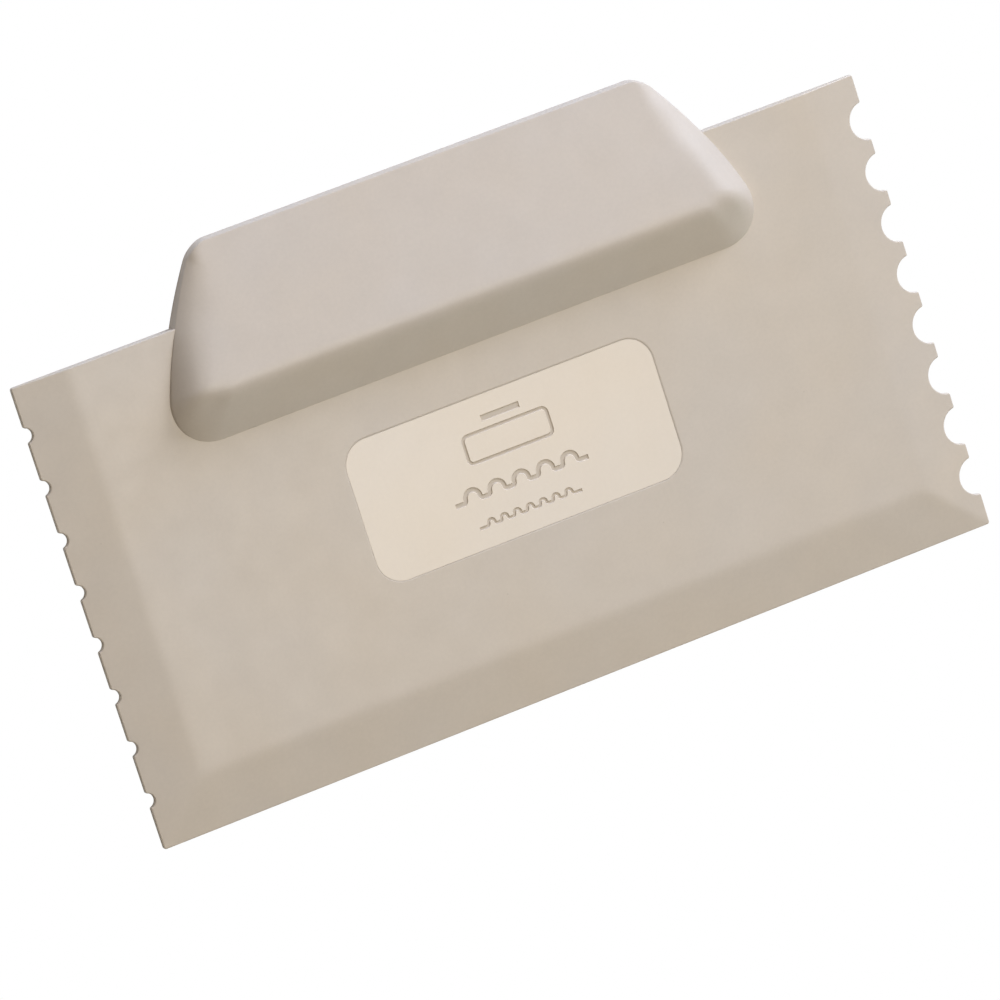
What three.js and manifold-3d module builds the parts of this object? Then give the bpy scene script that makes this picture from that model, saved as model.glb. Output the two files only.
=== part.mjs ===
// Notched trowel. A flat blade, bevelled along three sides and notched along its two short sides, carries a
// hollow wedge-shaped grip over its fourth side. Four moulded pins of the grip pass through the blade and a
// back cover, and are staked flush behind them. A polished plate is let into the middle of the blade's face.
//
// Millimetres. X runs along the blade, +Y points to the grip and +Z out of the front face. The origin is the
// middle of the blade's back face.

import * as THREE from 'three';
import { mergeVertices } from 'three/addons/utils/BufferGeometryUtils.js';
import Module from 'manifold-3d';

const { degToRad, lerp, smoothstep } = THREE.MathUtils;

const wasm = await Module();
wasm.setup();

// ---- driving dimensions ----

const GAP = 0.3; // clearance round a piece that drops into a pocket or a hole
const OVER = 1; // how far a cutting tool runs past the faces that it cuts

const BLADE = { length: 220, width: 115, thick: 3.5, edge: 1.5, bevel: 14, corner: 0.6 };

const NOTCHES = { count: 8, pitch: 13, shift: 0.35 }; // shift moves both rows towards the grip
const COARSE_NOTCH = { radius: 4.6, depth: 4.3 }; // right-hand end
const FINE_NOTCH = { radius: 1.85, depth: 1.6 }; // left-hand end

const LABEL = { length: 80.4, width: 35.4, corner: 6.5, thick: 0.8, pocket: 0.9, y: -0.3 }; // slightly sunk

// The grip's plan is a trapezoid with bowed sides and round corners, longest near its front line.
const GRIP = {
  front: 28.7, // y of its front line, on the blade
  back: 75, // y of its free edge, beyond the blade
  waistX: 72.9, // half length, measured at y = waistY
  waistY: 50,
  taper: 0.424, // how much the half length shrinks for each millimetre of y, at waistY
  bow: 0.006, // how much the taper grows for each millimetre of y
};
const FRONT_CORNER = { reach: 13.2, least: 3.8, pull: 0.55 };
const BACK_CORNER = { reach: 3.6, least: 1.5, pull: 0.55 };

// A tilted front wall rises to a crest, and the top slopes down from it to the free edge. The side walls are
// rounded, and narrow towards the free edge. A steep skirt goes all round below the walls. A run is a wall's
// width in plan. ease is the height over which two surfaces blend.
const CREST = { y: 41, height: 11, ease: 2.2 };
const FREE_EDGE_HEIGHT = 2.8;
const FOOT = { height: 3.2, share: 0.42 }; // share is the most that it takes of the top's height
const FRONT_WALL = { tilt: degToRad(33), run: CREST.y - GRIP.front };
const SIDE_WALL = { roundness: 2.6, run: 10.2, narrowFrom: 58, narrowTo: 80, narrowBy: 0.8 };
const BACK_RUN = 6;
const SKIRT = { steepness: 10, ease: 2.2 };

const SHELL = { wall: 3, roof: 2.5 }; // wall is measured in plan, roof upright
const RIBS = { x: [-35, 0, 35], thick: 1.6 };
const COVER_THICK = 1.5;
const PINS = { x: [-54, -18, 18, 54], y: 46, radius: 3, head: 4.5, sunk: 0.2, top: 8.8 };

// Rings of the grip's surface: 0 is its outer line, and 1 is where the walls meet the top.
const RING_PARTS = [0.015, 0.04, 0.075, 0.13, 0.2, 0.3, 0.41, 0.53, 0.66, 0.8, 0.94, 1.08, 1.22, 1.35];
const HOLLOW_PART = 0.5; // where the hollow leaves its upright walls
const CORNER_STEPS = 8;
const SIDE_STEPS = 7;
const ROUND_STEPS = 32;

// ---- from three.js geometry to solids and back ----

function toSolid(geometry) {
  const bare = geometry.clone();
  bare.deleteAttribute('normal');
  bare.deleteAttribute('uv');
  const merged = mergeVertices(bare, 1e-5);
  const vertProperties = new Float32Array(merged.attributes.position.array);
  const triVerts = new Uint32Array(merged.index.array);
  return new wasm.Manifold(new wasm.Mesh({ numProp: 3, vertProperties, triVerts }));
}

function toMesh(name, solid, material) {
  const { vertProperties, triVerts } = solid.getMesh();
  const geometry = new THREE.BufferGeometry();
  geometry.setAttribute('position', new THREE.BufferAttribute(vertProperties, 3));
  geometry.setIndex(new THREE.BufferAttribute(triVerts, 1));
  geometry.computeVertexNormals();
  const mesh = new THREE.Mesh(geometry, material);
  mesh.name = name;
  return mesh;
}

// A prism over a plan outline, from height z0 to z1.
function prism(shape, z0, z1, curveSegments = ROUND_STEPS) {
  const geometry = new THREE.ExtrudeGeometry(shape, { depth: z1 - z0, bevelEnabled: false, curveSegments });
  return toSolid(geometry.translate(0, 0, z0));
}

// A turned solid on an upright axis, from [radius, z] pairs that start and end on that axis.
function turned(profile, x, y) {
  const points = profile.map(([radius, z]) => new THREE.Vector2(radius, z));
  const geometry = new THREE.LatheGeometry(points, ROUND_STEPS).rotateX(Math.PI / 2);
  return toSolid(geometry.translate(x, y, 0));
}

// A solid through rings of equal point counts, closed by a flat cap at each end. The rings run
// anticlockwise seen from above, and are listed from the bottom up.
function loft(rings) {
  const count = rings[0].length;
  const positions = rings.flat().flatMap((point) => point.toArray());
  const index = [];
  for (let ring = 0; ring < rings.length - 1; ring++) {
    for (let i = 0; i < count; i++) {
      const a = ring * count + i;
      const b = ring * count + ((i + 1) % count);
      index.push(a, b, b + count, a, b + count, a + count);
    }
  }
  const plan = (ring) => ring.map((point) => new THREE.Vector2(point.x, point.y));
  const last = (rings.length - 1) * count;
  for (const [a, b, c] of THREE.ShapeUtils.triangulateShape(plan(rings[0]), [])) index.push(a, c, b);
  for (const [a, b, c] of THREE.ShapeUtils.triangulateShape(plan(rings.at(-1)), [])) {
    index.push(last + a, last + b, last + c);
  }
  const geometry = new THREE.BufferGeometry();
  geometry.setAttribute('position', new THREE.Float32BufferAttribute(positions, 3));
  geometry.setIndex(index);
  return toSolid(geometry);
}

// ---- plan outlines ----

function roundedRectangle(length, width, radius, y = 0) {
  const right = length / 2 - radius;
  const top = width / 2 - radius;
  const shape = new THREE.Shape();
  shape.absarc(right, y - top, radius, -Math.PI / 2, 0);
  shape.absarc(right, y + top, radius, 0, Math.PI / 2);
  shape.absarc(-right, y + top, radius, Math.PI / 2, Math.PI);
  shape.absarc(-right, y - top, radius, Math.PI, 1.5 * Math.PI);
  return shape.closePath();
}

// Circular bites along one short side: side is 1 for the right-hand end, walked upwards, and -1 for the
// left-hand end, walked downwards.
function addNotches(shape, side, { radius, depth }) {
  const half = Math.acos((radius - depth) / radius);
  const inward = side > 0 ? Math.PI : 0;
  for (let i = 0; i < NOTCHES.count; i++) {
    const y = (i - (NOTCHES.count - 1) / 2) * NOTCHES.pitch * side + NOTCHES.shift;
    const x = (BLADE.length / 2 + radius - depth) * side;
    shape.absarc(x, y, radius, inward + half, inward - half, true);
  }
}

function bladeOutline() {
  const right = BLADE.length / 2 - BLADE.corner;
  const top = BLADE.width / 2 - BLADE.corner;
  const shape = new THREE.Shape();
  shape.absarc(right, -top, BLADE.corner, -Math.PI / 2, 0);
  addNotches(shape, 1, COARSE_NOTCH);
  shape.absarc(right, top, BLADE.corner, 0, Math.PI / 2);
  shape.absarc(-right, top, BLADE.corner, Math.PI / 2, Math.PI);
  addNotches(shape, -1, FINE_NOTCH);
  shape.absarc(-right, -top, BLADE.corner, Math.PI, 1.5 * Math.PI);
  return shape.closePath();
}

// The grip's plan between a front and a back line, which are y values. A corner is a Bezier curve that leaves
// each side at its reach from where the two sides would meet. sideInset gives how far the sides lie in.
function gripPlan(front, back, frontReach, backReach, sideInset) {
  const slant = Math.hypot(1, GRIP.taper);
  const sideX = (y) => {
    const along = y - GRIP.waistY;
    return GRIP.waistX - along * (GRIP.taper + along * GRIP.bow) - sideInset(y) * slant;
  };
  const sideStart = front + frontReach;
  const sideEnd = back - backReach;

  const half = new THREE.Path();
  half.moveTo(sideX(front) - frontReach, front);
  half.bezierCurveTo(
    sideX(front) - frontReach * (1 - FRONT_CORNER.pull), front,
    sideX(sideStart - frontReach * FRONT_CORNER.pull), sideStart - frontReach * FRONT_CORNER.pull,
    sideX(sideStart), sideStart,
  );
  for (let i = 1; i <= SIDE_STEPS; i++) {
    const y = lerp(sideStart, sideEnd, i / SIDE_STEPS);
    half.lineTo(sideX(y), y);
  }
  half.bezierCurveTo(
    sideX(sideEnd + backReach * BACK_CORNER.pull), sideEnd + backReach * BACK_CORNER.pull,
    sideX(back) - backReach * (1 - BACK_CORNER.pull), back,
    sideX(back) - backReach, back,
  );
  const right = half.getPoints(CORNER_STEPS);
  const left = right.map((point) => new THREE.Vector2(-point.x, point.y)).reverse();
  return [...right, ...left];
}

// The grip's outer line, or a line at an even distance inside it.
function gripOutline(inset) {
  const frontReach = Math.max(FRONT_CORNER.reach - inset, FRONT_CORNER.least);
  const backReach = Math.max(BACK_CORNER.reach - inset, BACK_CORNER.least);
  return gripPlan(GRIP.front + inset, GRIP.back - inset, frontReach, backReach, () => inset);
}

// ---- the grip's outer surface ----

const TOP_SLOPE = (CREST.height - FREE_EDGE_HEIGHT) / (GRIP.back - CREST.y);

// The lesser of a and b, eased by a quadratic over a difference of ease.
function softMin(a, b, ease) {
  const blend = Math.max(ease - Math.abs(a - b), 0) / ease;
  return Math.min(a, b) - (blend * blend * ease) / 4;
}

function sideRun(y) {
  const narrowing = smoothstep(y, SIDE_WALL.narrowFrom, SIDE_WALL.narrowTo);
  return SIDE_WALL.run * (1 - SIDE_WALL.narrowBy * narrowing);
}

// Height of the surface at a part of the way up its walls. The front corners turn the straight front wall
// into the rounded side walls: rimY, where the ring's point starts on the outer line, tells how far round.
function gripHeight(part, y, rimY) {
  const top = CREST.height - (y - CREST.y) * TOP_SLOPE;
  const front = softMin(top, FOOT.height + part * FRONT_WALL.run * Math.tan(FRONT_WALL.tilt), CREST.ease);
  const foot = Math.min(FOOT.height, FOOT.share * top);
  const side = lerp(top, foot, (1 - Math.min(part, 1)) ** SIDE_WALL.roundness);

  const toSide = smoothstep(rimY, GRIP.front, GRIP.front + FRONT_CORNER.reach);
  const toBack = smoothstep(rimY, GRIP.back - BACK_CORNER.reach, GRIP.back);
  const walls = lerp(lerp(front, side, toSide), top, toBack);
  const run = lerp(lerp(FRONT_WALL.run, sideRun(y), toSide), BACK_RUN, toBack);
  return softMin(part * run * SKIRT.steepness, walls, SKIRT.ease);
}

// One ring of the outer surface. drop and floor turn it into the matching ring of the hollow.
function gripRing(part, drop = 0, floor = 0) {
  const reach = (corner) => lerp(corner.reach, corner.least, Math.min(part, 1));
  const rim = gripOutline(0);
  const plan = gripPlan(
    GRIP.front + part * FRONT_WALL.run,
    GRIP.back - part * BACK_RUN,
    reach(FRONT_CORNER),
    reach(BACK_CORNER),
    (y) => part * sideRun(y),
  );
  return plan.map(({ x, y }, i) => {
    const height = gripHeight(part, y, rim[i].y) - drop;
    return new THREE.Vector3(x, y, Math.max(height, floor));
  });
}

function flatRing(inset, z) {
  return gripOutline(inset).map(({ x, y }) => new THREE.Vector3(x, y, z));
}

// ---- sub-parts ----

// One long tool that planes the bevel off one side: turn 0 is the right-hand side.
function bevelTool(turn, edgeDistance, span) {
  const slope = (BLADE.thick - BLADE.edge) / BLADE.bevel;
  const section = new THREE.Shape([
    new THREE.Vector2(edgeDistance - BLADE.bevel, BLADE.thick),
    new THREE.Vector2(edgeDistance + OVER, BLADE.edge - slope * OVER),
    new THREE.Vector2(edgeDistance + OVER, BLADE.thick + OVER),
    new THREE.Vector2(edgeDistance - BLADE.bevel, BLADE.thick + OVER),
  ]);
  const geometry = new THREE.ExtrudeGeometry(section, { depth: span + 2 * OVER, bevelEnabled: false });
  geometry.rotateX(Math.PI / 2);
  geometry.translate(0, span / 2 + OVER, 0);
  return toSolid(geometry.rotateZ(turn));
}

function makeBlade() {
  const tools = [
    bevelTool(0, BLADE.length / 2, BLADE.width),
    bevelTool(Math.PI, BLADE.length / 2, BLADE.width),
    bevelTool(-Math.PI / 2, BLADE.width / 2, BLADE.length),
    prism(
      roundedRectangle(LABEL.length + 2 * GAP, LABEL.width + 2 * GAP, LABEL.corner + GAP, LABEL.y),
      BLADE.thick - LABEL.pocket,
      BLADE.thick + OVER,
      CORNER_STEPS,
    ),
    loft([flatRing(SHELL.wall, -OVER), flatRing(SHELL.wall, COVER_THICK)]),
  ];
  const hole = PINS.radius + GAP;
  for (const x of PINS.x) {
    tools.push(turned([[0, 0], [hole, 0], [hole, BLADE.thick + OVER], [0, BLADE.thick + OVER]], x, PINS.y));
  }
  const blank = prism(bladeOutline(), 0, BLADE.thick, CORNER_STEPS);
  return tools.reduce((blade, tool) => blade.subtract(tool), blank);
}

function makeLabel() {
  const floor = BLADE.thick - LABEL.pocket;
  const outline = roundedRectangle(LABEL.length, LABEL.width, LABEL.corner, LABEL.y);
  return prism(outline, floor, floor + LABEL.thick, CORNER_STEPS);
}

function slab(x0, x1, y0, y1, z0, z1) {
  const geometry = new THREE.BoxGeometry(x1 - x0, y1 - y0, z1 - z0);
  return toSolid(geometry.translate((x0 + x1) / 2, (y0 + y1) / 2, (z0 + z1) / 2));
}

function makeGripShell() {
  const reach = GRIP.waistX + GRIP.back;
  const body = loft([flatRing(0, 0), ...RING_PARTS.map((part) => gripRing(part))]);
  const seat = slab(-reach, reach, -reach, BLADE.width / 2, -OVER, BLADE.thick);

  // The hollow is cut as bays, which leaves a rib between each two.
  const overCover = COVER_THICK + GAP;
  const inner = RING_PARTS.filter((part) => part > HOLLOW_PART);
  const hollow = loft([
    flatRing(SHELL.wall, -OVER),
    flatRing(SHELL.wall, overCover),
    ...inner.map((part) => gripRing(part, SHELL.roof, overCover)),
  ]);
  const bays = RIBS.x.reduce((rest, x) => rest.subtract(
    slab(x - RIBS.thick / 2, x + RIBS.thick / 2, GRIP.front, GRIP.back, BLADE.thick + GAP, reach),
  ), hollow);

  const headTop = COVER_THICK - PINS.sunk;
  const pinProfile = [
    [0, PINS.sunk],
    [PINS.head, PINS.sunk],
    [PINS.radius, headTop],
    [PINS.radius, PINS.top],
    [0, PINS.top],
  ];
  return PINS.x.reduce(
    (shell, x) => shell.add(turned(pinProfile, x, PINS.y)),
    body.subtract(seat).subtract(bays),
  );
}

function makeGripCover() {
  const plate = loft([flatRing(SHELL.wall + GAP, 0), flatRing(SHELL.wall + GAP, COVER_THICK)]);
  const hole = PINS.radius + GAP;
  const mouth = PINS.head + 2 * GAP;
  return PINS.x.reduce((cover, x) => cover.subtract(turned(
    [[0, -OVER], [mouth, -OVER], [mouth, 0], [hole, COVER_THICK - PINS.sunk], [hole, COVER_THICK + OVER],
      [0, COVER_THICK + OVER]],
    x,
    PINS.y,
  )), plate);
}

// ---- assembly ----

const composite = new THREE.MeshStandardMaterial({ color: 0xcbbeaf, roughness: 0.55, metalness: 0 });
const gripMoulding = new THREE.MeshStandardMaterial({ color: 0xcdc3bc, roughness: 0.5, metalness: 0 });
const coverMoulding = new THREE.MeshStandardMaterial({ color: 0xc6bbb0, roughness: 0.55, metalness: 0 });
const polished = new THREE.MeshStandardMaterial({ color: 0xded1c1, roughness: 0.2, metalness: 0 });

const trowel = new THREE.Group();
trowel.add(
  toMesh('blade', makeBlade(), composite),
  toMesh('label_plate', makeLabel(), polished),
  toMesh('grip_shell', makeGripShell(), gripMoulding),
  toMesh('grip_back_cover', makeGripCover(), coverMoulding),
);

export default trowel;
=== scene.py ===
import math

import bpy
import numpy as np
from mathutils import Matrix, Vector
from mathutils.geometry import delaunay_2d_cdt


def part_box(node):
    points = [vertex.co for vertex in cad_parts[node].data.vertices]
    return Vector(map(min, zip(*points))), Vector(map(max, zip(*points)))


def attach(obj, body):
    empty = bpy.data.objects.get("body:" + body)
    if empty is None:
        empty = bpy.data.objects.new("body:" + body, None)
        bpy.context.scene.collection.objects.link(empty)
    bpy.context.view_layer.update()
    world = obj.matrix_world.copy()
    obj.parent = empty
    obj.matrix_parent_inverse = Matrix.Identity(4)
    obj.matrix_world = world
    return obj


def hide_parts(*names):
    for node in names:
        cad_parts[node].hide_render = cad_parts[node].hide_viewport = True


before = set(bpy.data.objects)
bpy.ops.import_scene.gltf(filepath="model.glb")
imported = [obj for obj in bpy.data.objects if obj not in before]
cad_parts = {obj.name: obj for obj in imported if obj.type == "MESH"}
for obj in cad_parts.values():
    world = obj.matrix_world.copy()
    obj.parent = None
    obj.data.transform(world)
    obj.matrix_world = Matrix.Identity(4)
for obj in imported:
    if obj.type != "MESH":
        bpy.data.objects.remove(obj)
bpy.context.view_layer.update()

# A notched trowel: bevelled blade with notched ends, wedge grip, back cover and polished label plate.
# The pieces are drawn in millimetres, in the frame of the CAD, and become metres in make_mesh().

MM = 0.001


def box_mm(node):
    low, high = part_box(node)
    return low / MM, high / MM


# ---- measures ----

BLADE_LOW, BLADE_HIGH = box_mm("blade")
LABEL_LOW, LABEL_HIGH = box_mm("label_plate")
SHELL_LOW, SHELL_HIGH = box_mm("grip_shell")
COVER_LOW, COVER_HIGH = box_mm("grip_back_cover")

GAP = 0.3  # round a piece that drops into a pocket or a hole
OVER = 1.0  # how far a cutting tool runs past what it cuts

FACE = BLADE_HIGH.z
WORKING_EDGE = 1.5  # thickness left at the bevelled edges
BEVEL = 14.0
BEVEL_EASE = 0.2  # height over which a bevel eases into the face
EDGE_ROUND = 0.3
BACK_ROUND = 0.25
CORNER_ROUND = 0.6
NOTCH_COUNT = 8
NOTCH_PITCH = 13.0
NOTCH_SHIFT = 0.35  # of both rows, towards the grip
COARSE_NOTCH = {"radius": 4.6, "depth": 4.3}
FINE_NOTCH = {"radius": 1.85, "depth": 1.6}
MOUTH_ROUND = 0.45

LABEL_CORNER = 6.5
LABEL_FIT = 0.03  # between the plate and its pocket, which are drawn closer than in the CAD
LABEL_ROUND = 0.06
LABEL_BACK_ROUND = 0.05
POCKET_CHAMFER = {"width": 0.35, "depth": 0.1}
GROOVE_DEPTH = 0.22
GROOVE_TAPER = 0.4  # how much narrower a groove of the motif is at its floor than at its mouth

# The motif in the label: places from the label's middle, and widths of strokes.
MOTIF_BLADE = {"right": 11.0, "bottom": 2.6, "top": 9.4, "corner": 1.3, "lap": 0.1}
MOTIF_GRIP = {"right": 5.0, "y": 12.2}
MOTIF_COARSE = {"y": -5.6, "width": 35.0, "count": 5, "pitch": 6.4, "radius": 1.9, "mouth": 0.7}
MOTIF_FINE = {"y": -12.6, "width": 27.0, "count": 7, "pitch": 3.4, "radius": 0.8, "mouth": 0.6}
STROKES = {"blade": 0.95, "grip": 1.6, "coarse": 1.25, "fine": 0.85}

# The grip is drawn as rings: part 0 is its outer line, and at part 1 its walls meet the top. A run is a
# wall's width in plan. Each ring is a trapezoid with bowed sides and round corners, longest near its front
# line. A corner reaches less far at the top than at the outer line, and its pull sets how square it is.
FRONT_Y = 28.7  # of the grip's full outline, some of which lies under the blade's face
WAIST_X = 72.9  # half length of the grip at y = WAIST_Y
WAIST_Y = 50.0
TAPER = 0.424  # how much the half length shrinks for each millimetre of y, at WAIST_Y
BOW = 0.006  # how much the taper grows for each millimetre of y
FRONT_CORNER = {"reach": 13.2, "least": 3.8, "pull": 0.55}
BACK_CORNER = {"reach": 3.6, "least": 1.5, "pull": 0.55}
CREST_Y = 41.0
CREST_Z = 11.0
FREE_EDGE_Z = 2.8
FOOT_Z = 3.2  # height at which the walls start from the outline
FOOT_SHARE = 0.42  # the most that the side walls' foot takes of the top's height
FRONT_TILT = math.radians(33)
FRONT_RUN = CREST_Y - FRONT_Y  # plan width of the front wall
CREST_EASE = 2.2  # height over which the front wall eases into the top
SIDE_RUN = 10.2  # plan width of the round of the side walls, by the crest
SIDE_ROUNDNESS = 2.6  # 2 gives a parabola, and more gives a steeper foot
NARROWING = {"from": 58.0, "to": 80.0, "share": 0.8}  # of that round, towards the free edge
BACK_RUN = 6.0  # plan distance from the free edge to the ring at part 1
SKIRT_STEEPNESS = 10.0  # rise of the skirt for each millimetre inwards
SKIRT_EASE = 2.2  # height over which the skirt eases into the walls and the top

SHELL_WALL = 3.0  # in plan
SHELL_ROOF = 2.5  # upright
RIB_XS = (-35.0, 0.0, 35.0)
RIB_THICK = 1.6
PIN_XS = (-54.0, -18.0, 18.0, 54.0)
PIN_Y = 46.0
PIN_RADIUS = 3.0
PIN_HOLE = PIN_RADIUS + GAP
PIN_HEAD = 4.5
PIN_SUNK = 0.2
PIN_TOP = 8.8
COVER_ROUND = 0.1  # along the edge that lies against the blade

LINE_STEP = 1.0  # longest side along an outline, and the pitch of the points inside one
ARC_STEP = 0.3  # longest side along an arc
TINY = 1e-6
QUARTER = math.pi / 2
FILL_INSIDE = 1  # the triangulation's mode that keeps only what lies inside the loop
MERGE_DISTANCE = 1e-7
INNER_MARGIN = EDGE_ROUND + 0.6  # from the blade's outline to the points inside it
FRONT_CORNER_STEPS = 28
BACK_CORNER_STEPS = 16
SIDE_STEPS = 27
CROSS_STEPS = 40  # along the grip's front line and its free edge
TURNED_STEPS = 64
ROUND_STEPS = 5  # rings in a rounded edge
FLAT_SHARP = math.radians(10)  # pieces with a wide flat face stay unsmoothed at edges sharper than this
CURVED_SHARP = math.radians(32)  # and pieces with curved faces at edges sharper than this
LAST_PART = 1.35  # of the grip's rings, inside the top
RING_COUNT = 49
WALL_PARTS = LAST_PART * np.linspace(0, 1, RING_COUNT) ** 2
HOLLOW_PART = 0.5  # the part at which the hollow leaves its upright walls


# ---- plan outlines: closed loops of points, anticlockwise ----


def arc(x, y, radius, start, end):
    count = max(3, math.ceil(abs(end - start) * radius / ARC_STEP))
    angles = np.linspace(start, end, count + 1)
    return np.stack([x + radius * np.cos(angles), y + radius * np.sin(angles)], axis=1)


def closed_loop(*runs):
    """Joins runs of points by straight lines, which are divided to LINE_STEP."""
    corners = np.concatenate(runs)
    loop = []
    for start, end in zip(corners, np.roll(corners, -1, axis=0)):
        length = np.linalg.norm(end - start)
        count = math.ceil(length / LINE_STEP) if length > TINY else 0
        loop.extend(start + (end - start) * i / count for i in range(count))
    return np.array(loop)


def rounded_rectangle(left, bottom, right, top, radius):
    return closed_loop(
        arc(right - radius, bottom + radius, radius, -QUARTER, 0),
        arc(right - radius, top - radius, radius, 0, QUARTER),
        arc(left + radius, top - radius, radius, QUARTER, 2 * QUARTER),
        arc(left + radius, bottom + radius, radius, 2 * QUARTER, 3 * QUARTER),
    )


def label_outline(growth):
    """The label plate's outline, grown evenly to all sides."""
    return rounded_rectangle(
        LABEL_LOW.x - growth,
        LABEL_LOW.y - growth,
        LABEL_HIGH.x + growth,
        LABEL_HIGH.y + growth,
        LABEL_CORNER + growth,
    )


def notched_side(side, radius, depth):
    """Bites along one short side, with rounded mouth corners. side is 1 for the right-hand end, walked
    upwards, and -1 for the left-hand end, walked downwards."""
    out = radius - depth
    centre_x = BLADE_HIGH.x + out
    mouth_x = BLADE_HIGH.x - MOUTH_ROUND
    mouth_y = math.sqrt((radius + MOUTH_ROUND) ** 2 - (out + MOUTH_ROUND) ** 2)
    lean = math.atan2(mouth_y, out + MOUTH_ROUND)
    runs = []
    for i in range(NOTCH_COUNT):
        y = (i - (NOTCH_COUNT - 1) / 2) * NOTCH_PITCH + NOTCH_SHIFT * side
        runs.append(arc(mouth_x, y - mouth_y, MOUTH_ROUND, 0, lean) * side)
        runs.append(arc(centre_x, y, radius, math.pi + lean, math.pi - lean) * side)
        runs.append(arc(mouth_x, y + mouth_y, MOUTH_ROUND, -lean, 0) * side)
    return runs


def blade_outline():
    right = BLADE_HIGH.x - CORNER_ROUND
    top = BLADE_HIGH.y - CORNER_ROUND
    return closed_loop(
        arc(right, -top, CORNER_ROUND, -QUARTER, 0),
        *notched_side(1, **COARSE_NOTCH),
        arc(right, top, CORNER_ROUND, 0, QUARTER),
        arc(-right, top, CORNER_ROUND, QUARTER, 2 * QUARTER),
        *notched_side(-1, **FINE_NOTCH),
        arc(-right, -top, CORNER_ROUND, 2 * QUARTER, 3 * QUARTER),
    )


def bezier(a, b, c, d, count):
    t = np.linspace(0, 1, count + 1)[:, None]
    a, b, c, d = (np.array(point) for point in (a, b, c, d))
    return a * (1 - t) ** 3 + 3 * b * t * (1 - t) ** 2 + 3 * c * t**2 * (1 - t) + d * t**3


def between(start, end, steps):
    """Evenly spaced values from start to end, without the two ends."""
    return np.linspace(start, end, steps + 1)[1:-1]


def side_x(y):
    """Half length of the grip, without its corners."""
    along = y - WAIST_Y
    return WAIST_X - along * (TAPER + along * BOW)


def grip_plan(front, back, front_reach, back_reach, side_inset):
    """The grip's plan: a trapezoid whose corners are Bezier curves, from front to back line. side_inset gives
    how far the sides lie inwards at a y. Every plan has the same number of points."""

    def side(y):
        return side_x(y) - side_inset(y) * math.hypot(1, TAPER)

    side_start = front + front_reach
    side_end = back - back_reach
    front_pull = side_start - front_reach * FRONT_CORNER["pull"]
    back_pull = side_end + back_reach * BACK_CORNER["pull"]
    side_ys = between(side_start, side_end, SIDE_STEPS)

    half = np.concatenate([
        bezier(
            (side(front) - front_reach, front),
            (side(front) - front_reach * (1 - FRONT_CORNER["pull"]), front),
            (side(front_pull), front_pull),
            (side(side_start), side_start),
            FRONT_CORNER_STEPS,
        ),
        np.stack([side(side_ys), side_ys], axis=1),
        bezier(
            (side(side_end), side_end),
            (side(back_pull), back_pull),
            (side(back) - back_reach * (1 - BACK_CORNER["pull"]), back),
            (side(back) - back_reach, back),
            BACK_CORNER_STEPS,
        ),
    ])
    back_xs = between(half[-1, 0], -half[-1, 0], CROSS_STEPS)
    front_xs = between(-half[0, 0], half[0, 0], CROSS_STEPS)
    return np.concatenate([
        half,
        np.stack([back_xs, np.full_like(back_xs, back)], axis=1),
        (half * (-1, 1))[::-1],
        np.stack([front_xs, np.full_like(front_xs, front)], axis=1),
    ])


def grip_outline(inset):
    """The grip's outer line, or a line at an even distance inside it."""
    return grip_plan(
        FRONT_Y + inset,
        SHELL_HIGH.y - inset,
        max(FRONT_CORNER["reach"] - inset, FRONT_CORNER["least"]),
        max(BACK_CORNER["reach"] - inset, BACK_CORNER["least"]),
        lambda y: inset,
    )


# ---- heights ----


def soft_min(a, b, ease):
    """The lesser of a and b, eased over a difference of ease."""
    blend = np.maximum(ease - np.abs(a - b), 0) / ease
    return np.minimum(a, b) - blend * blend * ease / 4


def blade_height(points):
    """The blade's face, with its bevels along the two short sides and the working side."""
    slope = (FACE - WORKING_EDGE) / BEVEL
    side = WORKING_EDGE + slope * (BLADE_HIGH.x - np.abs(points[:, 0]))
    working = WORKING_EDGE + slope * (points[:, 1] - BLADE_LOW.y)
    return soft_min(np.full(len(points), FACE), soft_min(side, working, BEVEL_EASE), BEVEL_EASE)


def mix(a, b, share):
    return a + (b - a) * share


def smooth_step(value, low, high):
    t = np.clip((value - low) / (high - low), 0, 1)
    return t * t * (3 - 2 * t)


def top_height(y):
    """The grip's flat top, which slopes down from the crest to the free edge."""
    return CREST_Z - (y - CREST_Y) * (CREST_Z - FREE_EDGE_Z) / (SHELL_HIGH.y - CREST_Y)


def side_run(y):
    return SIDE_RUN * (1 - NARROWING["share"] * smooth_step(y, NARROWING["from"], NARROWING["to"]))


def corner_reach(corner, part):
    return mix(corner["reach"], corner["least"], min(part, 1))


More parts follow.
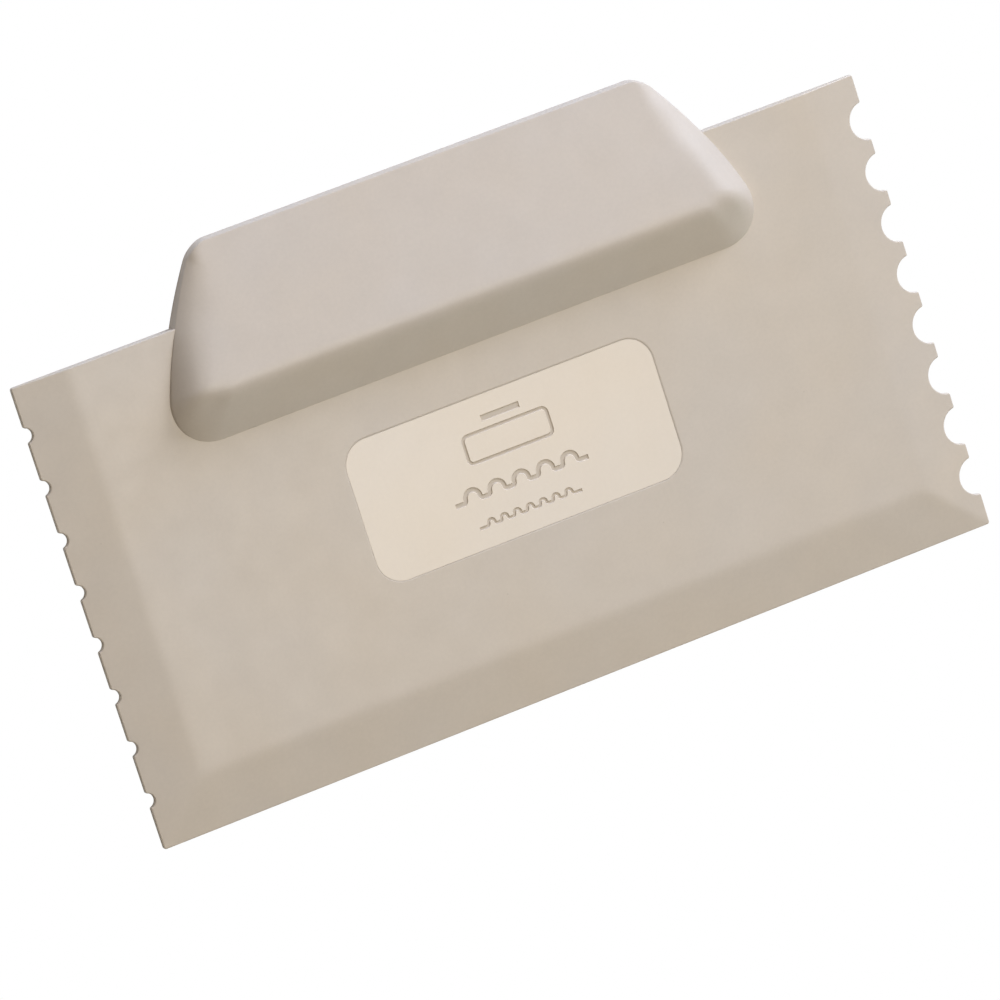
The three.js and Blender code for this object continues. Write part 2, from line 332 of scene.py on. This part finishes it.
def grip_ring(part, drop=0.0, floor=0.0):
    """One ring of the grip's outer surface, at a part of the way up its walls. The front wall is straight,
    and eases into the top. Both side walls are rounded. The front corners turn the one kind into the other
    round the top's own, sharper corner. A steep skirt goes all round. drop and floor are for the hollow."""
    rim_y = grip_outline(0.0)[:, 1]
    to_side = smooth_step(rim_y, FRONT_Y, FRONT_Y + FRONT_CORNER["reach"])
    to_back = smooth_step(rim_y, SHELL_HIGH.y - BACK_CORNER["reach"], SHELL_HIGH.y)
    loop = grip_plan(
        FRONT_Y + part * FRONT_RUN,
        SHELL_HIGH.y - part * BACK_RUN,
        corner_reach(FRONT_CORNER, part),
        corner_reach(BACK_CORNER, part),
        lambda y: part * side_run(y),
    )
    y = loop[:, 1]
    top = top_height(y)
    front = soft_min(top, FOOT_Z + part * FRONT_RUN * math.tan(FRONT_TILT), CREST_EASE)
    foot = np.minimum(FOOT_Z, FOOT_SHARE * top)
    side = mix(top, foot, (1 - min(part, 1)) ** SIDE_ROUNDNESS)
    walls = mix(mix(front, side, to_side), top, to_back)
    run = mix(mix(FRONT_RUN, side_run(y), to_side), BACK_RUN, to_back)
    height = soft_min(walls, part * run * SKIRT_STEEPNESS, SKIRT_EASE)
    return lift(loop, np.maximum(height - drop, floor))


# ---- from outlines to meshes ----


def outward(loop):
    """A unit normal for each point of a loop, pointing away from its inside."""
    along = np.roll(loop, -1, axis=0) - np.roll(loop, 1, axis=0)
    normal = np.stack([along[:, 1], -along[:, 0]], axis=1)
    return normal / np.linalg.norm(normal, axis=1)[:, None]


def lift(points, z):
    """Plan points at one height, or each at its own."""
    return np.column_stack([points, np.broadcast_to(z, len(points))])


def fill(loop, inner=None):
    """Triangles over a closed loop, with extra points inside it. Returns all points, the loop's first."""
    points = loop if inner is None else np.concatenate([loop, inner])
    edges = [(i, (i + 1) % len(loop)) for i in range(len(loop))]
    corners = [Vector(point) for point in points]
    out, _, faces, _, _, _ = delaunay_2d_cdt(corners, edges, [], FILL_INSIDE, MERGE_DISTANCE)
    assert len(out) == len(points)
    return points, faces


def make_mesh(name, rings, top_inner=None, height_at=None):
    """A closed mesh through rings of equal length, listed from the bottom up, with a triangulated cap at
    each end. top_inner are extra plan points in the top cap, at the heights that height_at gives."""
    count = len(rings[0])
    vertices = list(np.concatenate(rings))
    faces = []
    for ring in range(len(rings) - 1):
        for i in range(count):
            a = ring * count + i
            b = ring * count + (i + 1) % count
            faces.append((a, b, b + count, a + count))

    _, bottom = fill(rings[0][:, :2])
    faces.extend(tuple(reversed(face)) for face in bottom)
    points, top = fill(rings[-1][:, :2], top_inner)
    last = (len(rings) - 1) * count
    faces.extend(tuple(last + i for i in face) for face in top)
    if top_inner is not None:
        vertices.extend(lift(points[count:], height_at(points[count:])))

    mesh = bpy.data.meshes.new(name)
    mesh.from_pydata((np.array(vertices) * MM).tolist(), [], faces)
    mesh.validate()
    return mesh


def rounded_rings(loop, low, high, low_round, high_round):
    """Rings round a prism with rounded edges. high is a height, or a function of the plan points."""
    normal = outward(loop)
    top_of = high if callable(high) else lambda points: np.full(len(points), high)
    rings = []
    for turn in np.linspace(QUARTER, 0, ROUND_STEPS):
        plan = loop - normal * low_round * (1 - math.cos(turn))
        rings.append(lift(plan, low + low_round * (1 - math.sin(turn))))
    for turn in np.linspace(0, QUARTER, ROUND_STEPS):
        plan = loop - normal * high_round * (1 - math.cos(turn))
        rings.append(lift(plan, top_of(plan) - high_round * (1 - math.sin(turn))))
    return rings


def prism(name, loop, low, high):
    return make_mesh(name, [lift(loop, low), lift(loop, high)])


def turned(name, profile, x, y):
    """A turned solid on an upright axis. profile lists (radius, z) from the bottom up."""
    angles = np.linspace(0, 2 * math.pi, TURNED_STEPS, endpoint=False)
    circle = np.stack([np.cos(angles), np.sin(angles)], axis=1)
    return make_mesh(name, [lift(circle * radius + (x, y), z) for radius, z in profile])


def slab(name, low, high):
    corners = [(low[0], low[1]), (high[0], low[1]), (high[0], high[1]), (low[0], high[1])]
    return prism(name, np.array(corners, float), low[2], high[2])


def combine(mesh, tools, operation):
    """Joins or cuts the mesh with each tool in turn, and returns the result as a new mesh."""
    work = bpy.data.objects.new(mesh.name, mesh)
    bpy.context.scene.collection.objects.link(work)
    helpers = []
    for tool in tools:
        helper = bpy.data.objects.new(tool.name, tool)
        bpy.context.scene.collection.objects.link(helper)
        helpers.append(helper)
        modifier = work.modifiers.new(tool.name, "BOOLEAN")
        modifier.operation = operation
        modifier.solver = "EXACT"
        modifier.object = helper
    graph = bpy.context.evaluated_depsgraph_get()
    result = bpy.data.meshes.new_from_object(work.evaluated_get(graph))
    for used in [work, *helpers]:
        bpy.data.objects.remove(used)
    return result


def cut(mesh, *tools):
    return combine(mesh, tools, "DIFFERENCE")


def join(mesh, *tools):
    return combine(mesh, tools, "UNION")


def add_piece(name, mesh, node, material, sharp_from):
    """Shows a mesh in place of its CAD node, smooth except along edges sharper than sharp_from."""
    mesh.name = name
    mesh.materials.clear()
    mesh.materials.append(material)
    mesh.shade_smooth()
    mesh.set_sharp_from_angle(angle=sharp_from)
    piece = bpy.data.objects.new(name, mesh)
    bpy.context.scene.collection.objects.link(piece)
    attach(piece, "root")
    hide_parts(node)


# ---- the pieces ----


def points_inside_blade(margin):
    """A square grid of points that keeps clear of the blade's outline and notches."""
    xs = np.arange(BLADE_LOW.x + margin, BLADE_HIGH.x - margin + TINY, LINE_STEP)
    ys = np.arange(BLADE_LOW.y + margin, BLADE_HIGH.y - margin + TINY, LINE_STEP)
    grid = np.stack(np.meshgrid(xs, ys), axis=-1).reshape(-1, 2)
    keep = np.ones(len(grid), bool)
    for side, notch in ((1, COARSE_NOTCH), (-1, FINE_NOTCH)):
        for i in range(NOTCH_COUNT):
            centre = (
                side * (BLADE_HIGH.x + notch["radius"] - notch["depth"]),
                (i - (NOTCH_COUNT - 1) / 2) * NOTCH_PITCH + NOTCH_SHIFT,
            )
            keep &= np.linalg.norm(grid - centre, axis=1) > notch["radius"] + margin
    return grid[keep]


def blade_mesh():
    rings = rounded_rings(blade_outline(), BLADE_LOW.z, blade_height, BACK_ROUND, EDGE_ROUND)
    inner = points_inside_blade(INNER_MARGIN)
    body = make_mesh("blade", rings, inner, blade_height)
    upright = label_outline(LABEL_FIT)
    mouth = upright + outward(upright) * POCKET_CHAMFER["width"]
    pocket = make_mesh("label_pocket", [
        lift(upright, LABEL_LOW.z),
        lift(upright, FACE - POCKET_CHAMFER["depth"]),
        lift(mouth, FACE),
        lift(mouth, FACE + OVER),
    ])
    recess = prism("cover_recess", grip_outline(SHELL_WALL), -OVER, COVER_HIGH.z)
    bore = [(PIN_HOLE, COVER_HIGH.z - OVER), (PIN_HOLE, FACE + OVER)]
    holes = [turned("pin_hole", bore, x, PIN_Y) for x in PIN_XS]
    return cut(body, pocket, recess, *holes)


def grip_mesh():
    skirt = lift(grip_outline(0.0), 0.0)
    body = make_mesh("grip", [skirt] + [grip_ring(part) for part in WALL_PARTS[1:]])
    far = SHELL_HIGH.x + OVER
    seat = slab("seat", (-far, 0, -OVER), (far, BLADE_HIGH.y, FACE))
    over_cover = COVER_HIGH.z + GAP
    hollow = make_mesh(
        "hollow",
        [lift(grip_outline(SHELL_WALL), z) for z in (-OVER, over_cover)]
        + [grip_ring(part, SHELL_ROOF, over_cover) for part in WALL_PARTS if part > HOLLOW_PART],
    )
    ribs = [
        slab(
            "rib",
            (x - RIB_THICK / 2, SHELL_LOW.y, FACE + GAP),
            (x + RIB_THICK / 2, SHELL_HIGH.y, SHELL_HIGH.z + OVER),
        )
        for x in RIB_XS
    ]
    head_top = COVER_HIGH.z - PIN_SUNK
    pin = [(PIN_HEAD, PIN_SUNK), (PIN_RADIUS, head_top), (PIN_RADIUS, PIN_TOP)]
    pins = [turned("pin", pin, x, PIN_Y) for x in PIN_XS]
    return join(cut(body, seat, cut(hollow, *ribs)), *pins)


def cover_mesh():
    loop = grip_outline(SHELL_WALL + GAP)
    body = make_mesh("cover", rounded_rings(loop, COVER_LOW.z, COVER_HIGH.z, BACK_ROUND, COVER_ROUND))
    mouth = PIN_HEAD + 2 * GAP
    sink = [
        (mouth, -OVER),
        (mouth, 0),
        (PIN_HOLE, COVER_HIGH.z - PIN_SUNK),
        (PIN_HOLE, COVER_HIGH.z + OVER),
    ]
    return cut(body, *[turned("countersink", sink, x, PIN_Y) for x in PIN_XS])


def ribbon(path, width):
    """The outline of an open path drawn with a width."""
    steps = np.linalg.norm(np.diff(path, axis=0), axis=1)
    path = path[np.concatenate([[True], steps > TINY])]
    along = np.gradient(path, axis=0)
    normal = np.stack([-along[:, 1], along[:, 0]], axis=1)
    side = normal * width / 2 / np.linalg.norm(along, axis=1)[:, None]
    return np.concatenate([path - side, (path + side)[::-1]])


def notch_line(y, width, count, pitch, radius, mouth):
    """A straight line with a row of arched notches in its middle."""
    runs = [[(-width / 2, y)]]
    for i in range(count):
        x = (i - (count - 1) / 2) * pitch
        runs.append(arc(x - radius - mouth, y + mouth, mouth, -QUARTER, 0))
        runs.append(arc(x, y + mouth, radius, 2 * QUARTER, 0))
        runs.append(arc(x + radius + mouth, y + mouth, mouth, 2 * QUARTER, 3 * QUARTER))
    runs.append([(width / 2, y)])
    return np.concatenate(runs)


def half_frame(right, bottom, top, corner, lap):
    """The right-hand half of a frame with round corners, which runs on past its middle by lap."""
    return np.concatenate([
        [(-lap, bottom)],
        arc(right - corner, bottom + corner, corner, -QUARTER, 0),
        arc(right - corner, top - corner, corner, 0, QUARTER),
        [(-lap, top)],
    ])


def motif():
    """The paths and stroke widths of a plain pictogram: a blade with its grip, over a coarse and a fine row
    of notches."""
    half_blade = half_frame(**MOTIF_BLADE)
    grip = np.array([(-MOTIF_GRIP["right"], MOTIF_GRIP["y"]), (MOTIF_GRIP["right"], MOTIF_GRIP["y"])])
    return [
        (half_blade, STROKES["blade"]),
        (half_blade * (-1, 1), STROKES["blade"]),
        (notch_line(**MOTIF_COARSE), STROKES["coarse"]),
        (notch_line(**MOTIF_FINE), STROKES["fine"]),
        (grip, STROKES["grip"]),
    ]


def groove(path, width):
    top = LABEL_HIGH.z
    return make_mesh("groove", [
        lift(ribbon(path, width - GROOVE_TAPER), top - GROOVE_DEPTH),
        lift(ribbon(path, width), top),
        lift(ribbon(path, width), top + OVER),
    ])


def label_mesh():
    rings = rounded_rings(label_outline(0.0), LABEL_LOW.z, LABEL_HIGH.z, LABEL_BACK_ROUND, LABEL_ROUND)
    centre = ((LABEL_LOW.x + LABEL_HIGH.x) / 2, (LABEL_LOW.y + LABEL_HIGH.y) / 2)
    return cut(make_mesh("label", rings), *[groove(path + centre, width) for path, width in motif()])


# ---- materials: sizes in millimetres, and tints as shares of a colour's red, green and blue ----

WARM_TINT = (1.012, 1.0, 0.98)
COOL_TINT = (0.992, 1.0, 1.018)
SPECK_TINT = (0.6, 0.55, 0.5)
# The pale edge tint is partly wear and partly a painted highlight on edges that catch light.
WEAR_AND_HIGHLIGHT_TINT = (1.18, 1.18, 1.2)
# The groove tint is painted shade for the motif's grooves.
GROOVE_SHADE_TINT = (0.80, 0.79, 0.78)

# Noise patterns: how large their features are, and which stretch of their values is spread out.
DRIFT = {"size": 34.0, "spread": (0.3, 0.7)}
BLOTCHES = {"size": 9.0, "spread": (0.25, 0.75), "detail": 4.0}
GRAIN = {"size": 0.9, "spread": (0.2, 0.8), "detail": 3.0}
SATIN_PATCHES = {"size": 6.0, "spread": (0.3, 0.7), "detail": 4.0}
WORN_AND_LIT_PATCHES = {"size": 3.0, "spread": (0.35, 0.6)}
HAIRLINES = {"size": 0.35, "spread": (0.66, 0.72), "detail": 3.0}

SPECK_SPACING = 11.0
SPECK_RIM = (0.022, 0.012)  # from just outside a speck to its full strength, in parts of a cell
SPECK_LOT = (0.70, 0.72)  # cells whose lot is above this have a speck
SPECK_STRENGTH = 0.3
WEAR_AND_HIGHLIGHT_RADIUS = 0.5
WEAR_AND_HIGHLIGHT_TURN = (0.985, 0.85)  # cosine of the angle that rounding the edge would turn the surface by
WEAR_AND_HIGHLIGHT_STRENGTH = 0.35
WEAR_ROUGHNESS = 0.1
SATIN_SWING = 0.035  # of the roughness, to either side
MOULDED_BUMPS = ((7.0, 0.012), (0.5, 0.006), (0.22, 0.003))  # size and height
POLISHED_BUMPS = ((12.0, 0.01), (0.6, 0.002))
HAIRLINE_SCALE = (0.05, 1.0, 1.0)  # draws the pattern out along X
HAIRLINE_TURN = (0.0, 0.0, 0.5)
HAIRLINE_ROUGHNESS = 0.08
GROOVE_START = (0.03, 0.13)  # depths between which the polish ends and the painted shade of the grooves sets in
GROOVE_ROUGHNESS = 0.2


def feed(tree, socket, value):
    """Links a socket from another, or sets its value."""
    if isinstance(value, bpy.types.NodeSocket):
        tree.links.new(value, socket)
    else:
        socket.default_value = value


def add_node(tree, kind, settings=None, **inputs):
    """Adds a shader node. settings are its properties; inputs are values or sockets to link from, by name."""
    made = tree.nodes.new(kind)
    for name, value in (settings or {}).items():
        setattr(made, name, value)
    for name, value in inputs.items():
        feed(tree, made.inputs[name.replace("_", " ")], value)
    return made


def start_material(name):
    material = bpy.data.materials.new(name)
    material.use_nodes = True
    material.node_tree.nodes.clear()
    return material, material.node_tree


def noise(tree, place, size, detail=2.0):
    """A noise value round 0.5, with features of a size in millimetres."""
    made = add_node(tree, "ShaderNodeTexNoise", Vector=place, Scale=1 / (size * MM), Detail=detail)
    return made.outputs["Fac"]


def arithmetic(tree, operation, a, b):
    made = add_node(tree, "ShaderNodeMath", {"operation": operation})
    feed(tree, made.inputs[0], a)
    feed(tree, made.inputs[1], b)
    return made.outputs["Value"]


def remap(tree, value, from_range, to_range=(0.0, 1.0)):
    return add_node(
        tree,
        "ShaderNodeMapRange",
        Value=value,
        From_Min=from_range[0],
        From_Max=from_range[1],
        To_Min=to_range[0],
        To_Max=to_range[1],
    ).outputs["Result"]


def patches(tree, place, size, spread, to_range=(0.0, 1.0), detail=2.0):
    """Noise whose values within spread are stretched over to_range."""
    return remap(tree, noise(tree, place, size, detail), spread, to_range)


def blend(tree, share, a, b, mode="MIX"):
    """Mixes two colours, each a tuple or a socket."""
    made = add_node(tree, "ShaderNodeMix", {"data_type": "RGBA", "blend_type": mode})
    first, second = (socket for socket in made.inputs if socket.type == "RGBA")
    feed(tree, made.inputs[0], share)
    for socket, colour in ((first, a), (second, b)):
        feed(tree, socket, (*colour, 1) if isinstance(colour, tuple) else colour)
    return next(socket for socket in made.outputs if socket.type == "RGBA")


def tint(colour, shares):
    return tuple(value * share for value, share in zip(colour, shares))


def mottled(tree, place, colour, strength):
    """The colour, drifting between a warmer and a cooler tint, with soft blotches and a fine grain."""
    drift = patches(tree, place, **DRIFT)
    base = blend(tree, drift, tint(colour, WARM_TINT), tint(colour, COOL_TINT))
    swing = (1 - strength, 1 + strength)
    blotches = patches(tree, place, **BLOTCHES, to_range=swing)
    grain = patches(tree, place, **GRAIN, to_range=swing)
    shade = arithmetic(tree, "MULTIPLY", blotches, grain)
    grey = add_node(tree, "ShaderNodeCombineColor", Red=shade, Green=shade, Blue=shade).outputs["Color"]
    return blend(tree, 1.0, base, grey, mode="MULTIPLY")


def specks(tree, place):
    """Sparse dots: 1 on a dot, 0 elsewhere. Only some cells of the pattern have one."""
    cells = add_node(tree, "ShaderNodeTexVoronoi", Vector=place, Scale=1 / (SPECK_SPACING * MM))
    dots = remap(tree, cells.outputs["Distance"], SPECK_RIM)
    lot = add_node(tree, "ShaderNodeSeparateColor", Color=cells.outputs["Color"]).outputs["Red"]
    return arithmetic(tree, "MULTIPLY", dots, remap(tree, lot, SPECK_LOT))


def edge_wear_and_highlight(tree, place):
    """1 along the rubbed parts of sharp edges, 0 elsewhere: paler there with wear, and with a painted
    highlight where the edges catch light.
    """
    rounded = add_node(tree, "ShaderNodeBevel", {"samples": 4}, Radius=WEAR_AND_HIGHLIGHT_RADIUS * MM).outputs["Normal"]
    facing = add_node(tree, "ShaderNodeNewGeometry").outputs["Normal"]
    compare = add_node(tree, "ShaderNodeVectorMath", {"operation": "DOT_PRODUCT"})
    tree.links.new(rounded, compare.inputs[0])
    tree.links.new(facing, compare.inputs[1])
    edge = remap(tree, compare.outputs["Value"], WEAR_AND_HIGHLIGHT_TURN)
    return arithmetic(tree, "MULTIPLY", edge, patches(tree, place, **WORN_AND_LIT_PATCHES))


def finish_material(tree, place, colour, roughness, bumps):
    """Ends a material in a plastic surface with layers of bumps, each a size and a height."""
    surface = add_node(tree, "ShaderNodeBsdfPrincipled", Base_Color=colour, Roughness=roughness)
    below = None
    for size, height in bumps:
        bump = add_node(tree, "ShaderNodeBump", Height=noise(tree, place, size), Distance=height * MM)
        if below is not None:
            tree.links.new(below, bump.inputs["Normal"])
        below = bump.outputs["Normal"]
    tree.links.new(below, surface.inputs["Normal"])
    add_node(tree, "ShaderNodeOutputMaterial", Surface=surface.outputs["BSDF"])


def moulded_plastic(name, colour, roughness):
    """Satin moulded plastic: mottled, with a few dark specks, a fine grain, and edges made paler by wear
    and by a painted highlight.
    """
    material, tree = start_material(name)
    place = add_node(tree, "ShaderNodeTexCoord").outputs["Object"]
    body = mottled(tree, place, colour, strength=0.022)
    speck = arithmetic(tree, "MULTIPLY", specks(tree, place), SPECK_STRENGTH)
    dotted = blend(tree, speck, body, tint(colour, SPECK_TINT))
    worn_and_lit = edge_wear_and_highlight(tree, place)
    # Painted highlight and wear: sharp edges are made paler.
    shown = blend(tree, arithmetic(tree, "MULTIPLY", worn_and_lit, WEAR_AND_HIGHLIGHT_STRENGTH), dotted, tint(colour, WEAR_AND_HIGHLIGHT_TINT))
    swing = (roughness - SATIN_SWING, roughness + SATIN_SWING)
    satin = patches(tree, place, **SATIN_PATCHES, to_range=swing)
    rough = arithmetic(tree, "ADD", satin, arithmetic(tree, "MULTIPLY", worn_and_lit, WEAR_ROUGHNESS))
    finish_material(tree, place, shown, rough, MOULDED_BUMPS)
    return material


def polished_plastic(name, colour, roughness):
    """Smoother, paler plastic with hairline scratches. Whatever lies below its face, such as the motif's
    grooves, is left rough, and darkened with painted shade."""
    material, tree = start_material(name)
    place = add_node(tree, "ShaderNodeTexCoord").outputs["Object"]
    height = add_node(tree, "ShaderNodeSeparateXYZ", Vector=place).outputs["Z"]
    sunk = remap(tree, height, [(LABEL_HIGH.z - depth) * MM for depth in GROOVE_START])
    body = mottled(tree, place, colour, strength=0.012)
    # Painted shade: the motif's grooves are darkened, standing in for the shade that falls in them.
    shown = blend(tree, sunk, body, tint(colour, GROOVE_SHADE_TINT))
    along_scratches = add_node(
        tree,
        "ShaderNodeMapping",
        Vector=place,
        Rotation=HAIRLINE_TURN,
        Scale=HAIRLINE_SCALE,
    ).outputs["Vector"]
    hairlines = patches(tree, along_scratches, **HAIRLINES)
    scratched = arithmetic(tree, "MULTIPLY", hairlines, HAIRLINE_ROUGHNESS)
    rubbed = arithmetic(tree, "ADD", scratched, roughness)
    rough = arithmetic(tree, "ADD", rubbed, arithmetic(tree, "MULTIPLY", sunk, GROOVE_ROUGHNESS))
    finish_material(tree, place, shown, rough, POLISHED_BUMPS)
    return material


# ---- assembly ----

composite = moulded_plastic("moulded_composite", (0.572, 0.490, 0.396), roughness=0.45)
# The grip's copy of the composite, tinted a little cooler: painted light, standing in for the cooler light
# that falls on the grip.
grip_plastic_cool_lit = moulded_plastic("grip_moulding_cool_lit", (0.567, 0.488, 0.403), roughness=0.45)
polished = polished_plastic("polished_label", (0.71, 0.61, 0.49), roughness=0.33)

add_piece("blade_moulding", blade_mesh(), "blade", composite, FLAT_SHARP)
add_piece("grip_shell_moulding", grip_mesh(), "grip_shell", grip_plastic_cool_lit, CURVED_SHARP)
add_piece(
    "grip_back_cover_moulding", cover_mesh(), "grip_back_cover", composite, CURVED_SHARP
)
add_piece("label_plate_polished", label_mesh(), "label_plate", polished, FLAT_SHARP)


# ---- stage, light and camera ----

FLOOR_REACH = 6.0  # metres from the middle to each side
FLOOR_Z = -0.0001  # metres, just under the tool
FLOOR_GREY = 0.8
LIGHT_DISTANCE = 1.5  # metres
LIGHT_SIZE = 0.7  # metres across
SENSOR_WIDTH = 36  # of the camera, which makes lens lengths those of a full-frame camera

# Soft lights: name, direction from the tool, power in watts and colour.
STUDIO_LIGHTS = (
    ("overhead", (0.16, -0.12, 0.98), 7.0, (1.0, 0.95, 0.86)),
    ("top", (0.0, 0.03, 1.0), 3.7, (0.97, 0.92, 0.86)),
    ("right_window", (0.66, 0.66, 0.37), 20.9, (0.80, 0.86, 1.0)),
    ("low_window", (0.70, 0.70, 0.16), 5.0, (0.41, 0.63, 1.0)),
    ("far_window", (0.24, 0.90, 0.37), 4.1, (0.40, 0.54, 1.0)),
    ("back_left", (-0.38, 0.52, 0.77), 3.4, (1.0, 0.97, 0.86)),
    ("low_front", (0.70, -0.70, 0.16), 3.3, (0.85, 0.98, 1.0)),
    ("front", (0.24, -0.90, 0.37), 2.75, (0.95, 1.0, 0.97)),
)


def floor_material():
    """Pure white to the camera, and pale grey to the light that falls on it."""
    material, tree = start_material("white_floor")
    seen = add_node(tree, "ShaderNodeLightPath").outputs["Is Camera Ray"]
    paper = add_node(tree, "ShaderNodeBsdfDiffuse", Color=(FLOOR_GREY, FLOOR_GREY, FLOOR_GREY, 1))
    white = add_node(tree, "ShaderNodeEmission", Color=(1, 1, 1, 1))
    mixed = add_node(tree, "ShaderNodeMixShader", Fac=seen)
    tree.links.new(paper.outputs["BSDF"], mixed.inputs[1])
    tree.links.new(white.outputs["Emission"], mixed.inputs[2])
    add_node(tree, "ShaderNodeOutputMaterial", Surface=mixed.outputs["Shader"])
    return material


def add_floor():
    sides = ((-1, -1), (1, -1), (1, 1), (-1, 1))
    corners = [(x * FLOOR_REACH, y * FLOOR_REACH, FLOOR_Z) for x, y in sides]
    mesh = bpy.data.meshes.new("floor")
    mesh.from_pydata(corners, [], [(0, 1, 2, 3)])
    mesh.materials.append(floor_material())
    floor = bpy.data.objects.new("floor", mesh)
    bpy.context.scene.collection.objects.link(floor)


def add_soft_light(name, direction, power, colour):
    light = bpy.data.lights.new(name, "AREA")
    light.shape = "DISK"
    light.size = LIGHT_SIZE
    light.energy = power
    light.color = colour
    lamp = bpy.data.objects.new(name, light)
    lamp.location = Vector(direction).normalized() * LIGHT_DISTANCE
    lamp.rotation_mode = "QUATERNION"
    lamp.rotation_quaternion = Vector(direction).to_track_quat("Z", "Y")
    bpy.context.scene.collection.objects.link(lamp)


def darken_world():
    """Leaves all the light to the lamps."""
    world = bpy.data.worlds.new("studio")
    world.use_nodes = True
    world.node_tree.nodes["Background"].inputs["Strength"].default_value = 0
    bpy.context.scene.world = world


def add_camera(azimuth, elevation, roll, distance, aim, lens):
    """A camera on a sphere round aim. Azimuth 0 looks along +Y; roll turns the picture about its middle."""
    turn = math.radians(azimuth)
    rise = math.radians(elevation)
    back = Vector((math.sin(turn) * math.cos(rise), -math.cos(turn) * math.cos(rise), math.sin(rise)))
    tilt = Matrix.Rotation(math.radians(roll), 3, "Z").to_quaternion()
    data = bpy.data.cameras.new("camera")
    data.lens = lens
    data.sensor_width = SENSOR_WIDTH
    camera = bpy.data.objects.new("camera", data)
    camera.rotation_mode = "QUATERNION"
    camera.rotation_quaternion = back.to_track_quat("Z", "Y") @ tilt
    camera.location = Vector(aim) * MM + back * distance * MM
    bpy.context.scene.collection.objects.link(camera)
    bpy.context.scene.camera = camera


add_floor()
darken_world()
for name, direction, power, colour in STUDIO_LIGHTS:
    add_soft_light(name, direction, power, colour)
add_camera(azimuth=-124.55, elevation=70.09, roll=105.08, distance=1729.7, aim=(-5.61, -8.75, 0), lens=263.2)

bpy.context.scene.view_settings.view_transform = "Standard"
